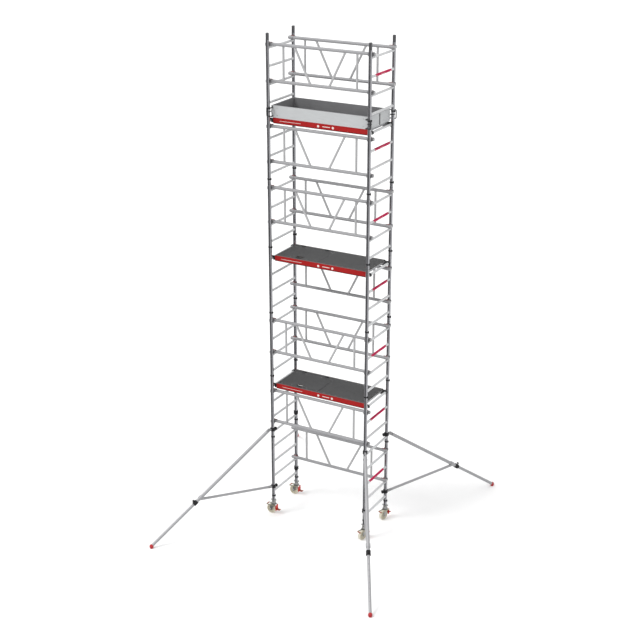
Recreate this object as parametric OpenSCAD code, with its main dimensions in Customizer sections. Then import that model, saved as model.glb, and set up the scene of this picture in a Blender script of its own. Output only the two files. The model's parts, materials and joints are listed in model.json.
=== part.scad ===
// Mobile tower scaffold: seven stacked ladder frames on each side of a narrow bay,
// three trapdoor platforms, ten guardrail units, four adjustable castors and four
// telescopic stabilisers. Origin on the floor at the centre of the bay, +Z up,
// X along the bay, the front long side faces -Y.

/* [Tower] */
// Bay length between post centre lines
bay_l = 1565; // [1300:5:1900]
// End frame width between post centre lines
frame_w = 690; // [580:5:850]
// Height of one frame from joint to joint
frame_h = 1000; // [850:10:1200]
// Height of the lowest post end above the floor
post_base = 240; // [235:1:300]
// Height of a frame's first rung above its lower joint
first_rung = 145; // [120:1:160]

/* [Frame tubes] */
// Outer diameter of the posts
post_d = 50.8; // [48:0.1:54]
// Wall of the posts
post_wall = 2; // [1.5:0.1:3]
// Outer diameter of the rungs
rung_d = 35; // [30:0.5:36]
// Wall of the rungs
rung_wall = 2; // [1.5:0.1:3]
// Length of spigot that stands out of a post
spigot_out = 95; // [90:1:130]
// Length of spigot that is fixed inside a post
spigot_in = 100; // [60:1:150]
// Wall of the spigots
spigot_wall = 3; // [2:0.1:4]
// Height of the locking clip above a joint
clip_rise = 70; // [55:1:75]
// Diameter of the clip's pin
clip_pin_d = 7; // [5:0.5:9]
// Diameter of the clip's wire
clip_wire_d = 3.5; // [2:0.5:4]
// Length of the label sleeve on each third rung
label_l = 450; // [300:5:520]

/* [Guardrails] */
// Outer diameter of the two long rails
rail_d = 45; // [30:0.5:45.5]
// Wall of the guardrail tubes
rail_wall = 1.8; // [1.5:0.1:3]
// Outer diameter of uprights and diagonals
strut_d = 32; // [22:0.5:34]
// Distance from the rail to the post centre line, inwards
rail_inset = 52; // [50:0.5:60]
// Length of rail past the post centre line
rail_past = 42; // [40:1:60]
// Height of a rail above the rung that carries it
rail_rise = 45; // [44.5:0.5:60]
// Depth of a rail that runs below a platform's rung
rail_drop = 82; // [79:0.5:95]
// Upright's distance from the middle of the bay
upright_x = 563; // [500:1:580]
// Diagonal's upper end from the middle of the bay
diagonal_top_x = 391; // [300:1:450]
// Diagonal's lower end from the middle of the bay
diagonal_foot_x = 141; // [80:1:200]
// Wall of the claw around the post and rail
claw_wall = 8; // [5:0.5:8]
// Height of the claw
claw_h = 40; // [30:1:40]

/* [Platforms] */
// Width over the side beams
platform_w = 600; // [500:1:604]
// Gap from the post centre line to the beam's end
platform_gap = 50; // [45:1:70]
// Height of the side beams
beam_h = 81; // [70:1:81]
// Thickness of the side beams
beam_t = 25; // [20:1:35]
// Height of the walking surface above the rung's centre
deck_rise = 43; // [38:1:60]
// Thickness of the plywood
deck_t = 10; // [8:1:15]
// Length of the trapdoor along the bay
hatch_l = 640; // [600:5:700]
// Width of the deck strip on each side of the trapdoor
strip_w = 25; // [22:1:60]
// Gap around the trapdoor
hatch_gap = 3; // [2:0.5:5]
// Height of the toe boards
toe_h = 170; // [150:1:180]
// Thickness of the toe boards
toe_t = 18; // [12:1:25]
// Length of toe board past the platform's end
toe_past = 25; // [0:1:28]

/* [Castors] */
// Wheel diameter
wheel_d = 150; // [125:1:150]
// Wheel tread width
wheel_w = 42; // [38:1:48]
// Axle's offset behind the swivel axis
trail = 38; // [30:1:45]
// Travel of the levelling leg
leg_travel = 200; // [100:5:250]
// Diameter of the threaded spindle
spindle_d = 38; // [34:0.5:38]
// Swivel angle of the two left castors
swivel_left = 0; // [-180:1:180]
// Swivel angle of the two right castors
swivel_right = 75; // [-180:1:180]

/* [Stabilisers] */
// Reach of a stabiliser foot from its post
stab_reach = 2050; // [1800:5:2200]
// Angle of a stabiliser from the bay's long side
stab_angle = 60; // [45:1:70]
// Height of the upper clamp
stab_high = 1430; // [1428:1:1445]
// Height of the lower clamp
stab_low = 468; // [435:1:505]
// Outer diameter of the outer tube
stab_d = 50; // [48:0.5:52]
// Outer diameter of the telescopic inner tube
stab_inner_d = 44; // [42:0.5:45]
// Wall of both stabiliser tubes
stab_wall = 2; // [1.8:0.1:2.4]
// Horizontal reach of the outer tube's end
collar_reach = 1320; // [1200:5:1400]
// Distance of the strut's joint before the outer tube's end
strut_back = 60; // [60:5:320]
// Travel of the telescopic leg
stab_travel = 450; // [300:5:500]
// Foot diameter
foot_d = 62; // [56:1:80]

/* [Hidden] */
$fn = 48;
levels = 7;
frame_rungs = 4;
rung_pitch = frame_h / frame_rungs;
platform_rungs = [8, 16, 24];
guardrails_by_height = [12, 20, 28];
weld_gap = 0.1;
seat_gap = 0.3;
run_gap = 0.08;
cut = 1;

post_bore = post_d - 2 * post_wall;
spigot_d = post_bore - 2 * seat_gap;
swage = 0.5;
clip_reach = 6;
label_shift = 18;
rail_y = frame_w / 2 - rail_inset;
rail_l = bay_l + 2 * rail_past;
rail_span = 2 * rung_pitch;
platform_l = bay_l - 2 * platform_gap;
inner_w = platform_w - 2 * beam_t;
hatch_w = inner_w - 2 * strip_w;
member_w = 40;
member_h = 30;
member_wall = 2;
hatch_inset = 32;
hatch_x0 = -platform_l / 2 + hatch_inset;
hatch_x1 = hatch_x0 + hatch_l;
hinge_d = 14;
hinge_pin_d = 6;
hinge_l = 60;
hinge_leaf = 34;
fixed_leaf = strip_w - seat_gap;
hinge_leaf_t = 3;
hook_w = 25;
hook_wall = 14;
fork_t = 5;
fork_gap = 4;
fork_y = wheel_w / 2 + fork_gap + fork_t / 2;
crown_z = 162;
crown_t = 13.5;
head_z = crown_z + crown_t + 0.5;
head_t = 8;
nut_h = 20;
nut_z = post_base - nut_h;
king_d = 14;
axle_d = 12;
wheel_r = wheel_d / 2;
brake_t = 4;
brake_x = 20;
brake_z = 145;
brake_pin_d = 8;
arm_gap = 1;
shoe_gap = 0.6;
front_x = 52;
clamp_h = 50;
clamp_wall = 9;
pivot_x = 65;
stab_run = stab_reach - pivot_x;
foot_axis_z = foot_d / 2;
stab_drop = stab_high - foot_axis_z;
stab_len = norm([stab_run, stab_drop]);
stab_tilt = atan2(stab_drop, stab_run);
collar_at = (collar_reach - pivot_x) / cos(stab_tilt);
strut_at = (collar_reach - strut_back - pivot_x) / cos(stab_tilt);
collar_l = 70;

dark_grey = [0.28, 0.28, 0.29];
light_grey = [0.72, 0.72, 0.72];
beam_red = [0.72, 0.15, 0.13];
label_red = [0.75, 0.12, 0.2];
deck_grey = [0.33, 0.33, 0.33];
cream = [0.85, 0.82, 0.72];
black = [0.1, 0.1, 0.1];

// Sides of the four corners: [along X, along Y]
FL = [-1, -1];
FR = [1, -1];
BL = [-1, 1];
BR = [1, 1];

function joint_z(level) = post_base + level * frame_h;
function rung_z(n) = post_base + first_rung + (n - 1) * rung_pitch;
function swivel(corner) = corner[0] < 0 ? swivel_left : swivel_right;
function stab_azimuth(corner) = atan2(corner[1] * sin(stab_angle), corner[0] * cos(stab_angle));

// Move children to a corner's post axis
module at_post(corner) {
    translate([corner[0] * bay_l / 2, corner[1] * frame_w / 2, 0]) children();
}

module at_every_post() {
    for (corner = [FL, FR, BL, BR]) at_post(corner) children();
}

// Round tube along +Z
module tube(l, d, wall) {
    difference() {
        cylinder(h = l, d = d);
        translate([0, 0, -cut]) cylinder(h = l + 2 * cut, d = d - 2 * wall);
    }
}

// Round tube from p to q in the XZ plane
module tube_xz(p, q, d, wall) {
    run = q[0] - p[0];
    rise = q[1] - p[1];
    translate([p[0], 0, p[1]]) rotate([0, atan2(run, rise), 0])
        tube(norm([run, rise]), d, wall);
}

// Rectangular tube along X, centred
module box_tube(l, w, h, wall) {
    difference() {
        cube([l, w, h], center = true);
        cube([l + 2 * cut, w - 2 * wall, h - 2 * wall], center = true);
    }
}

// ---- End frames ----

module post() {
    difference() {
        tube(frame_h, post_d, post_wall);
        translate([0, 0, clip_rise]) rotate([0, 90, 0])
            cylinder(h = post_d, d = clip_pin_d + 2 * seat_gap);
    }
}

module rung() {
    difference() {
        translate([0, frame_w / 2, 0]) rotate([90, 0, 0]) tube(frame_w, rung_d, rung_wall);
        for (side = [-1, 1]) translate([0, side * frame_w / 2, -rung_d])
            cylinder(h = 2 * rung_d, d = post_d + 2 * weld_gap);
    }
}

module end_frame() {
    for (side = [-1, 1]) translate([0, side * frame_w / 2, 0]) post();
    for (i = [0 : frame_rungs - 1]) translate([0, 0, first_rung + i * rung_pitch]) rung();
}

module end_frames(level) {
    color(dark_grey) for (side = [-1, 1])
        translate([side * bay_l / 2, 0, joint_z(level - 1)]) end_frame();
}

// Spigot fixed in the top of a post, with a chamfered end
module spigot() {
    chamfer = 4;
    tip_in = 3;
    difference() {
        union() {
            translate([0, 0, -spigot_in]) cylinder(h = spigot_in, d = spigot_d - 2 * swage);
            cylinder(h = spigot_out - chamfer, d = spigot_d);
            translate([0, 0, spigot_out - chamfer])
                cylinder(h = chamfer, d1 = spigot_d, d2 = spigot_d - 2 * tip_in);
        }
        translate([0, 0, -spigot_in - cut])
            cylinder(h = spigot_in + spigot_out + 2 * cut, d = spigot_d - 2 * swage - 2 * spigot_wall);
        translate([0, 0, clip_rise]) rotate([0, 90, 0])
            cylinder(h = spigot_d, d = clip_pin_d + 2 * seat_gap);
    }
}

module spigots() {
    color(light_grey) for (level = [1 : levels])
        at_every_post() translate([0, 0, joint_z(level)]) spigot();
}

// Pin through the post's wall on a sprung wire ring
module spring_clip() {
    ring_r = post_d / 2 + seat_gap + clip_wire_d / 2;
    rotate_extrude() translate([ring_r, 0]) circle(d = clip_wire_d);
    translate([post_d / 2 - clip_reach, 0, 0]) rotate([0, 90, 0])
        cylinder(h = 2 * clip_reach, d = clip_pin_d);
}

module spring_clips() {
    color(black) for (level = [0 : levels - 1])
        at_every_post() translate([0, 0, joint_z(level) + clip_rise]) spring_clip();
}

// Printed sleeve on the outer face of the third rung of each frame
module rung_label() {
    wrap = 260;
    sleeve_t = 0.6;
    rotate([90, 0, 0]) rotate([0, 0, -wrap / 2]) rotate_extrude(angle = wrap)
        translate([rung_d / 2 + weld_gap, -label_l / 2]) square([sleeve_t, label_l]);
}

module rung_labels() {
    color(label_red) for (level = [0 : levels - 1]) for (side = [0, 1])
        mirror([1 - side, 0, 0])
            translate([bay_l / 2, label_shift, rung_z(level * frame_rungs + 3)]) rung_label();
}

// ---- Guardrails ----

module rail_pair_cut() {
    for (z = [0, -rail_span]) translate([-rail_l / 2, 0, z]) rotate([0, 90, 0])
        cylinder(h = rail_l, d = rail_d + 2 * weld_gap);
}

// One unit: two rails, two uprights and two diagonals, top rail on the X axis
module guardrail() {
    for (z = [0, -rail_span]) translate([-rail_l / 2, 0, z]) rotate([0, 90, 0])
        tube(rail_l, rail_d, rail_wall);
    for (side = [-1, 1]) difference() {
        union() {
            tube_xz([side * upright_x, -rail_span], [side * upright_x, 0], strut_d, rail_wall);
            tube_xz([side * diagonal_foot_x, -rail_span], [side * diagonal_top_x, 0],
                    strut_d, rail_wall);
        }
        rail_pair_cut();
    }
}

module guardrail_at(side, z) {
    translate([0, side * rail_y, z]) guardrail();
}

module guardrail_pair(i) {
    color(light_grey) for (side = [-1, 1])
        guardrail_at(side, rung_z(guardrails_by_height[i]) + rail_rise);
}

// Units on one long side only: [side, height of the top rail]
single_units = [
    [1, rung_z(frame_rungs) + rail_rise],
    [-1, rung_z(platform_rungs[0]) - rail_drop],
    [1, rung_z(platform_rungs[1]) - rail_drop],
    [-1, rung_z(platform_rungs[2]) - rail_drop]
];

module brace_rails() {
    color(light_grey) for (unit = single_units) guardrail_at(unit[0], unit[1]);
}

// Claw on a rail's end that grips the post, post on the Z axis, rail on the +Y side
module claw() {
    collar_l = 62;
    mouth = -6;
    difference() {
        union() {
            cylinder(h = claw_h, d = post_d + 2 * claw_wall, center = true);
            translate([0, rail_inset, 0]) rotate([0, 90, 0])
                cylinder(h = collar_l, d = rail_d + claw_wall, center = true);
            translate([-claw_h / 2, 0, -claw_h / 2]) cube([claw_h, rail_inset, claw_h]);
        }
        cylinder(h = 2 * claw_h, d = post_d + 2 * seat_gap, center = true);
        translate([0, rail_inset, 0]) rotate([0, 90, 0])
            cylinder(h = 2 * collar_l, d = rail_d + 2 * seat_gap, center = true);
        translate([-post_d, mouth - 2 * post_d, -claw_h])
            cube([2 * post_d, 2 * post_d, 2 * claw_h]);
    }
}

module claws_of_unit(side, z) {
    for (end = [-1, 1]) for (drop = [0, rail_span])
        translate([end * bay_l / 2, side * frame_w / 2, z - drop])
            mirror([0, side > 0 ? 1 : 0, 0]) claw();
}

module rail_claws() {
    color(black) {
        for (n = guardrails_by_height) for (side = [-1, 1])
            claws_of_unit(side, rung_z(n) + rail_rise);
        for (unit = single_units) claws_of_unit(unit[0], unit[1]);
    }
}

// ---- Platforms ----

hinge_xs = [hatch_x0 + hatch_l / 5, hatch_x1 - hatch_l / 5];
member_xs = [
    -platform_l / 2 + member_w / 2, hatch_x1 + hatch_gap / 2,
    (hatch_x1 + platform_l / 2) / 2, platform_l / 2 - member_w / 2
];

// Fixed half of a trapdoor hinge with its pin, on the deck behind the trapdoor
module fixed_hinge() {
    knuckle = hinge_l / 3;
    for (end = [-1, 1]) translate([end * knuckle, 0, 0]) {
        rotate([0, 90, 0]) cylinder(h = knuckle - 1, d = hinge_d, center = true);
        translate([-(knuckle - 1) / 2, 0, -hinge_d / 2])
            cube([knuckle - 1, fixed_leaf, hinge_leaf_t]);
    }
    translate([-hinge_l / 2, hinge_d / 2 + 1, -hinge_d / 2])
        cube([hinge_l, fixed_leaf - hinge_d / 2 - 1, hinge_leaf_t]);
    rotate([0, 90, 0]) cylinder(h = hinge_l, d = hinge_pin_d, center = true);
}

// Moving half of a trapdoor hinge
module moving_hinge() {
    knuckle = hinge_l / 3;
    difference() {
        union() {
            rotate([0, 90, 0]) cylinder(h = knuckle - 1, d = hinge_d, center = true);
            translate([-(knuckle - 1) / 2, -hinge_leaf, -hinge_d / 2])
                cube([knuckle - 1, hinge_leaf, hinge_leaf_t]);
        }
        rotate([0, 90, 0]) cylinder(h = hinge_l, d = hinge_pin_d + 2 * run_gap, center = true);
    }
}

module at_hinges() {
    for (x = hinge_xs) translate([x, hatch_w / 2, deck_rise + hinge_d / 2]) children();
}

module platform_frame(i) {
    color(beam_red) translate([0, 0, rung_z(platform_rungs[i - 1])]) {
        for (side = [-1, 1])
            translate([0, side * (platform_w - beam_t) / 2, deck_rise - beam_h / 2])
                box_tube(platform_l, beam_t, beam_h, member_wall);
        for (x = member_xs) translate([x, 0, deck_rise - deck_t - member_h / 2])
            rotate([0, 0, 90]) box_tube(inner_w - 2 * weld_gap, member_w, member_h, member_wall);
        at_hinges() fixed_hinge();
    }
}

// Plywood around the trapdoor: one large panel, one end strip and two side strips
module deck(i) {
    side_w = strip_w - hatch_gap - weld_gap;
    panel_x = hatch_x1 + hatch_gap;
    color(deck_grey) translate([0, 0, rung_z(platform_rungs[i - 1]) + deck_rise - deck_t]) {
        translate([panel_x, -inner_w / 2 + weld_gap, 0])
            cube([platform_l / 2 - panel_x, inner_w - 2 * weld_gap, deck_t]);
        translate([-platform_l / 2, -inner_w / 2 + weld_gap, 0])
            cube([hatch_x0 - hatch_gap + platform_l / 2, inner_w - 2 * weld_gap, deck_t]);
        for (side = [0, 1]) mirror([0, side, 0])
            translate([hatch_x0 - hatch_gap + weld_gap, hatch_w / 2 + hatch_gap, 0])
                cube([hatch_l + 2 * hatch_gap - 2 * weld_gap, side_w, deck_t]);
    }
}

module hatch(i) {
    slot_l = 110;
    slot_w = 32;
    slot_inset = 60;
    slot_y = -hatch_w / 2 + slot_inset;
    color(deck_grey) translate([0, 0, rung_z(platform_rungs[i - 1])]) {
        difference() {
            translate([hatch_x0, -hatch_w / 2, deck_rise - deck_t])
                cube([hatch_l, hatch_w, deck_t]);
            translate([(hatch_x0 + hatch_x1 - slot_l) / 2, slot_y - slot_w / 2, 0])
                cube([slot_l, slot_w, 2 * deck_rise]);
        }
        at_hinges() moving_hinge();
    }
}

// Hook over a rung, in the XZ plane with the rung's centre at the origin
module hook() {
    seat_r = rung_d / 2 + seat_gap;
    lip = 14;
    rotate([90, 0, 0]) linear_extrude(hook_w, center = true) difference() {
        union() {
            circle(r = seat_r + hook_wall);
            translate([-platform_gap, -beam_h / 3])
                square([platform_gap, beam_h / 3 + seat_r + hook_wall]);
        }
        circle(r = seat_r);
        translate([-seat_r, -2 * beam_h]) square([2 * seat_r, 2 * beam_h]);
        translate([0, -lip - beam_h]) square([2 * platform_gap, beam_h]);
    }
}

module platform_hooks() {
    color(black) for (n = platform_rungs) for (end = [0, 1]) mirror([1 - end, 0, 0])
        for (side = [-1, 1])
            translate([bay_l / 2, side * (platform_w - beam_t) / 2, rung_z(n)]) hook();
}

toe_z = rung_z(platform_rungs[2]) + deck_rise;

module toe_boards() {
    end_w = platform_w - 2 * toe_t - 2 * seat_gap;
    board_l = platform_l + 2 * toe_past;
    color(light_grey) {
        for (side = [-1, 1])
            translate([-board_l / 2, side * (platform_w - toe_t) / 2 - toe_t / 2, toe_z])
                cube([board_l, toe_t, toe_h]);
        for (end = [-1, 1])
            translate([end * (board_l - toe_t) / 2 - toe_t / 2, -end_w / 2, toe_z])
                cube([toe_t, end_w, toe_h]);
    }
}

// Corner clip of the toe boards with its strap around the post
module toe_board_clip() {
    strap_w = 5;
    strap_h = 12;
    leg = 45;
    clip_t = 3;
    clip_h = 60;
    dx = platform_gap - toe_past;
    dy = (frame_w - platform_w) / 2;
    corner_turn = atan2(-dy, -dx);
    linear_extrude(strap_h) difference() {
        union() {
            circle(d = post_d + 2 * seat_gap + 2 * strap_w);
            rotate(corner_turn) translate([0, -strap_w]) square([norm([dx, dy]), 2 * strap_w]);
        }
        circle(d = post_d + 2 * seat_gap);
        translate([-dx - leg, -dy - leg]) square([leg + seat_gap, leg + seat_gap]);
    }
    translate([-dx, -dy, -clip_h / 3]) difference() {
        translate([-leg, -leg, 0]) cube([leg + seat_gap + clip_t, leg + seat_gap + clip_t, clip_h]);
        translate([-2 * leg, -2 * leg, -cut])
            cube([2 * leg + seat_gap, 2 * leg + seat_gap, clip_h + 2 * cut]);
    }
}

module toe_board_clips() {
    clip_z = 80;
    color(black) for (corner = [FL, FR, BL, BR]) at_post(corner) translate([0, 0, toe_z + clip_z])
        mirror([corner[0] < 0 ? 1 : 0, 0, 0]) mirror([0, corner[1] < 0 ? 1 : 0, 0]) toe_board_clip();
}

// ---- Castors ----

// Levelling nut under a post: a flanged collar with two wings
module leg_nut() {
    wing_l = 88;
    collar_d = post_d + 4;
    flange_d = post_d + 22;
    difference() {
        union() {
            cylinder(h = nut_h, d = collar_d);
            translate([0, 0, nut_h / 2]) cylinder(h = nut_h / 4, d = flange_d);
            translate([-wing_l / 2, -nut_h / 4, nut_h / 4]) cube([wing_l, nut_h / 2, nut_h / 2]);
        }
        translate([0, 0, -cut]) cylinder(h = nut_h + 2 * cut, d = spindle_d + 2 * run_gap);
    }
}

module leg_nuts() {
    color(light_grey) at_every_post() translate([0, 0, nut_z]) leg_nut();
}

// Threaded spindle on a flared socket with the swivel's upper plate
module castor_leg(corner) {
    spindle_in = leg_travel + 130;
    spindle_wall = 5;
    head_d = 72;
    flare_d = 64;
    flare_h = 22;
    king_h = 36;
    socket_d = spindle_d + 8;
    color(light_grey) at_post(corner) difference() {
        union() {
            translate([0, 0, head_z]) cylinder(h = head_t, d = head_d);
            translate([0, 0, head_z + head_t]) cylinder(h = flare_h, d1 = flare_d, d2 = socket_d);
            translate([0, 0, head_z + head_t + flare_h])
                cylinder(h = nut_z - head_z - head_t - flare_h, d = socket_d);
            translate([0, 0, nut_z]) cylinder(h = nut_h + spindle_in, d = spindle_d);
        }
        translate([0, 0, head_z - cut]) cylinder(h = king_h + cut, d = king_d + 2 * run_gap);
        translate([0, 0, nut_z])
            cylinder(h = nut_h + spindle_in + cut, d = spindle_d - 2 * spindle_wall);
    }
}

module at_castor(corner) {
    at_post(corner) rotate([0, 0, swivel(corner)]) children();
}

// Swivel fork with kingpin, axle and the brake's two pivot studs
module castor_fork(corner) {
    king_top = 33;
    boss_r = 20;
    crown_r = 33;
    bolt_head_t = 5;
    bolt_head_d = 20;
    stud_l = brake_t + 2 * arm_gap;
    color(light_grey) at_castor(corner) {
        translate([0, 0, crown_z]) cylinder(h = crown_t, r = crown_r);
        translate([-crown_r, -fork_y - fork_t / 2, crown_z])
            cube([2 * crown_r, 2 * fork_y + fork_t, crown_t / 2]);
        translate([0, 0, crown_z]) cylinder(h = crown_t + king_top, d = king_d);
        for (side = [-1, 1]) translate([0, side * fork_y, 0]) rotate([90, 0, 0])
            linear_extrude(fork_t, center = true) {
                polygon([[-crown_r, crown_z + 1], [crown_r, crown_z + 1],
                         [-trail + boss_r, wheel_r], [-trail - boss_r, wheel_r]]);
                translate([-trail, wheel_r]) circle(r = boss_r);
            }
        translate([-trail, 0, wheel_r]) rotate([90, 0, 0])
            cylinder(h = 2 * fork_y + fork_t + 2 * bolt_head_t, d = axle_d, center = true);
        for (side = [-1, 1])
            translate([-trail, side * (fork_y + (fork_t + bolt_head_t) / 2), wheel_r])
                rotate([90, 0, 0]) cylinder(h = bolt_head_t, d = bolt_head_d, center = true);
        for (side = [-1, 1]) translate([brake_x, side * (fork_y + (fork_t + stud_l) / 2), brake_z])
            rotate([90, 0, 0]) cylinder(h = stud_l, d = brake_pin_d, center = true);
    }
}

// Wheel: moulded tread and centre, turned about its axle
module castor_wheel(corner) {
    hub_r = 19;
    hub_w = wheel_w + 2 * fork_gap - 2 * seat_gap;
    web_w = 16;
    rim_r = wheel_r - 20;
    tread_edge = 8;
    color(cream) at_castor(corner) translate([-trail, 0, wheel_r]) rotate([90, 0, 0])
        rotate_extrude($fn = 72) difference() {
            union() {
                translate([0, -hub_w / 2]) square([hub_r, hub_w]);
                translate([0, -web_w / 2]) square([wheel_r - tread_edge, web_w]);
                translate([rim_r, -wheel_w / 2]) square([wheel_r - tread_edge - rim_r, wheel_w]);
                translate([rim_r, -wheel_w / 2 + tread_edge])
                    square([wheel_r - rim_r, wheel_w - 2 * tread_edge]);
                for (side = [-1, 1])
                    translate([wheel_r - tread_edge, side * (wheel_w / 2 - tread_edge)])
                        circle(r = tread_edge);
            }
            translate([-hub_w, -hub_w]) square([hub_w + axle_d / 2 + run_gap, 2 * hub_w]);
        }
}

// Rocking brake: two side arms, a front plate with shoe, a front pedal and a rear bar
module castor_brake(corner) {
    arm_y = fork_y + fork_t / 2 + arm_gap + brake_t / 2;
    arm_h = 16;
    plate_t = 5;
    rear_x = -105;
    pedal_l = 55;
    pedal_t = 6;
    pedal_z = wheel_r;
    shoe_h = 24;
    shoe_x = wheel_r - trail + shoe_gap;
    plate_z = wheel_r - shoe_h / 2;
    color(beam_red) at_castor(corner) {
        for (side = [-1, 1]) difference() {
            translate([rear_x, side * arm_y - brake_t / 2, brake_z - arm_h / 2])
                cube([front_x + plate_t - rear_x, brake_t, arm_h]);
            translate([brake_x, side * arm_y, brake_z]) rotate([90, 0, 0])
                cylinder(h = 2 * brake_t, d = brake_pin_d + 2 * run_gap, center = true);
        }
        translate([front_x, -arm_y - brake_t / 2, plate_z])
            cube([plate_t, 2 * arm_y + brake_t, brake_z + arm_h / 2 - plate_z]);
        translate([shoe_x, -wheel_w / 3, plate_z])
            cube([front_x - shoe_x, 2 * wheel_w / 3, shoe_h]);
        translate([front_x, -wheel_w / 2, pedal_z]) cube([plate_t + pedal_l, wheel_w, pedal_t]);
        translate([rear_x, 0, brake_z]) rotate([90, 0, 0])
            cylinder(h = 2 * arm_y + brake_t, d = arm_h, center = true);
    }
}

// ---- Stabilisers ----

module at_stabiliser(corner) {
    at_post(corner) rotate([0, 0, stab_azimuth(corner)]) children();
}

// Along the stabiliser's sloping axis, from the upper pivot, local Z outwards
module on_slope() {
    translate([pivot_x, 0, stab_high]) rotate([0, 90 + stab_tilt, 0]) children();
}

pivot_d = 12;
screw_d = 10;
tongue_t = 15;
tongue_l = 45;

// Flattened end of a tube with the hole for its pivot bolt, at the origin, tube along +Z
module tongue(d) {
    plug_in = 6;
    plug_l = 2 * plug_in;
    difference() {
        union() {
            translate([-d / 2, -tongue_t / 2, 0]) cube([d, tongue_t, tongue_l - 1]);
            rotate([90, 0, 0]) cylinder(h = tongue_t, d = d, center = true);
            translate([0, 0, tongue_l - 1 - plug_in])
                cylinder(h = plug_l, d = d - 2 * stab_wall - 2 * seat_gap);
        }
        rotate([90, 0, 0]) cylinder(h = 2 * tongue_t, d = pivot_d + 2 * seat_gap, center = true);
    }
}

strut_tube_d = 38;
joint_point = [pivot_x + strut_at * cos(stab_tilt), stab_high - strut_at * sin(stab_tilt)];
strut_run = joint_point[0] - pivot_x;
strut_rise = joint_point[1] - stab_low;
strut_turn = atan2(strut_run, strut_rise);
strut_len = norm([strut_run, strut_rise]);
sleeve_wall = 8;
sleeve_l = 60;
sleeve_r = stab_d / 2 + sleeve_wall;
sleeve_at = strut_at - sleeve_r / tan(stab_tilt + 90 - strut_turn);

module stabiliser_arm(corner) {
    color(light_grey) at_stabiliser(corner) {
        on_slope() {
            tongue(stab_d);
            translate([0, 0, tongue_l]) tube(collar_at - tongue_l, stab_d, stab_wall);
        }
        difference() {
            translate([pivot_x, 0, stab_low]) rotate([0, strut_turn, 0]) {
                tongue(strut_tube_d);
                translate([0, 0, tongue_l]) tube(strut_len - tongue_l, strut_tube_d, stab_wall);
            }
            on_slope() translate([0, 0, strut_at - stab_reach / 4])
                cylinder(h = stab_reach / 2, r = sleeve_r + weld_gap);
        }
    }
}

// Clamp ring on the post with two cheeks, a pivot bolt and a locking knob
module post_clamp() {
    cheek_t = 6;
    cheek_y = tongue_t / 2 + seat_gap;
    cheek_past = 18;
    bolt_out = 6;
    ring_r = post_d / 2 + clamp_wall;
    screw_out = 8;
    knob_d = 40;
    knob_t = 20;
    difference() {
        union() {
            cylinder(h = clamp_h, r = ring_r, center = true);
            for (side = [0, 1]) mirror([0, side, 0]) translate([0, cheek_y, -clamp_h / 3])
                cube([pivot_x + cheek_past, cheek_t, 2 * clamp_h / 3]);
            rotate([0, -90, 0]) cylinder(h = ring_r + screw_out, d = screw_d);
            translate([-ring_r - screw_out, 0, 0]) rotate([0, -90, 0])
                cylinder(h = knob_t, d = knob_d);
        }
        cylinder(h = 2 * clamp_h, d = post_d + 2 * seat_gap, center = true);
    }
    translate([pivot_x, 0, 0]) rotate([90, 0, 0])
        cylinder(h = 2 * (cheek_y + cheek_t + bolt_out), d = pivot_d, center = true);
}

// Collar that clamps the inner tube, with its knob on top
module collar() {
    knob_d = 30;
    knob_t = 16;
    knob_out = 25;
    difference() {
        union() {
            translate([0, 0, -collar_l / 2]) cylinder(h = collar_l, r = sleeve_r);
            rotate([0, -90, 0]) cylinder(h = stab_d / 2 + knob_out, d = screw_d);
            translate([-stab_d / 2 - knob_out, 0, 0]) rotate([0, 90, 0])
                cylinder(h = knob_t, d = knob_d, center = true);
        }
        translate([0, 0, -collar_l]) cylinder(h = collar_l, d = stab_d + 2 * seat_gap);
        translate([0, 0, -cut]) cylinder(h = collar_l + cut, d = stab_inner_d + 2 * run_gap);
    }
}

module stabiliser_clamps(corner) {
    color(black) at_stabiliser(corner) {
        for (z = [stab_high, stab_low]) translate([0, 0, z]) post_clamp();
        on_slope() {
            translate([0, 0, collar_at + weld_gap]) collar();
            translate([0, 0, sleeve_at - sleeve_l / 2])
                tube(sleeve_l, 2 * sleeve_r, sleeve_wall - seat_gap);
        }
    }
}

module stabiliser_leg(corner) {
    overlap = stab_travel + 200;
    bush_l = 25;
    color(light_grey) at_stabiliser(corner) on_slope() {
        translate([0, 0, collar_at - overlap])
            tube(stab_len - collar_at + overlap, stab_inner_d, stab_wall);
        translate([0, 0, collar_at - overlap])
            tube(bush_l, stab_d - 2 * stab_wall - 2 * run_gap, (stab_d - stab_inner_d) / 2);
    }
}

// Rubber foot: a ball on a flat sole, with the socket for the inner tube
module stabiliser_foot(corner) {
    sole_t = 12;
    sole_r = foot_d / 2 - 7;
    color(beam_red) at_stabiliser(corner) difference() {
        translate([stab_reach, 0, 0]) rotate_extrude() difference() {
            union() {
                square([sole_r, sole_t]);
                translate([0, foot_axis_z]) circle(d = foot_d);
            }
            translate([-foot_d, -foot_d]) square([foot_d, 3 * foot_d]);
            translate([-foot_d, -foot_d]) square([2 * foot_d, foot_d]);
        }
        on_slope() translate([0, 0, stab_len - foot_d])
            cylinder(h = foot_d + weld_gap, d = stab_inner_d + 2 * weld_gap);
    }
}

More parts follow.
